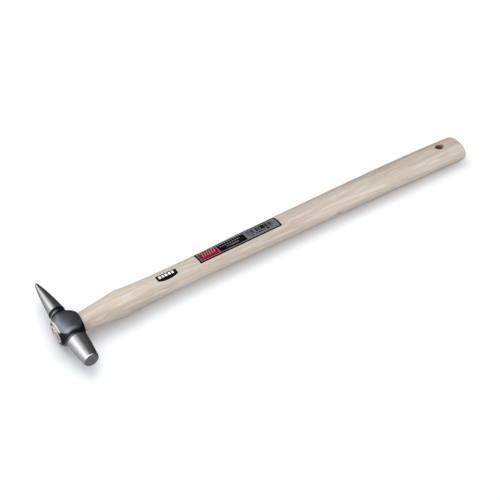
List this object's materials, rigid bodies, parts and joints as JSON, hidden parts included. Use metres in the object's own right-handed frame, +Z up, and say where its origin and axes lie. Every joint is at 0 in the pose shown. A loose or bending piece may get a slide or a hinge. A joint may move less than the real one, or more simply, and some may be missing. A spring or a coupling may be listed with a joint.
{
  "type": "inspection hammer",
  "caption": "Slim test hammer with a round tapered striking stub, a long conical pein and a wooden handle with a hanging hole.",
  "frame": {"origin": "under the middle of the bounding box, on the plane that the lower cheek rests on", "axes": "+X along the handle to its butt, -Y towards the striking face, +Y towards the pein's tip, +Z up out of the upper cheek"},
  "size_m": [0.45, 0.105, 0.0284],
  "materials": {
    "head_steel": "turned and polished stub and pein, ground cheeks, black oxide waist and collars",
    "handle_wood": "sanded pale ash with a thin clear lacquer",
    "wedge_wood": "raw end grain",
    "wedge_steel": "dull rolled steel",
    "label_paper": "printed film label, satin",
    "badge_film": "printed film, satin"
  },
  "bodies": {
    "root": {"hammer_head": "head_steel", "handle": "handle_wood", "wooden_wedge": "wedge_wood", "steel_wedge_1": "wedge_steel", "steel_wedge_2": "wedge_steel", "product_label": "label_paper", "badge": "badge_film"}
  },
  "joints": []
}
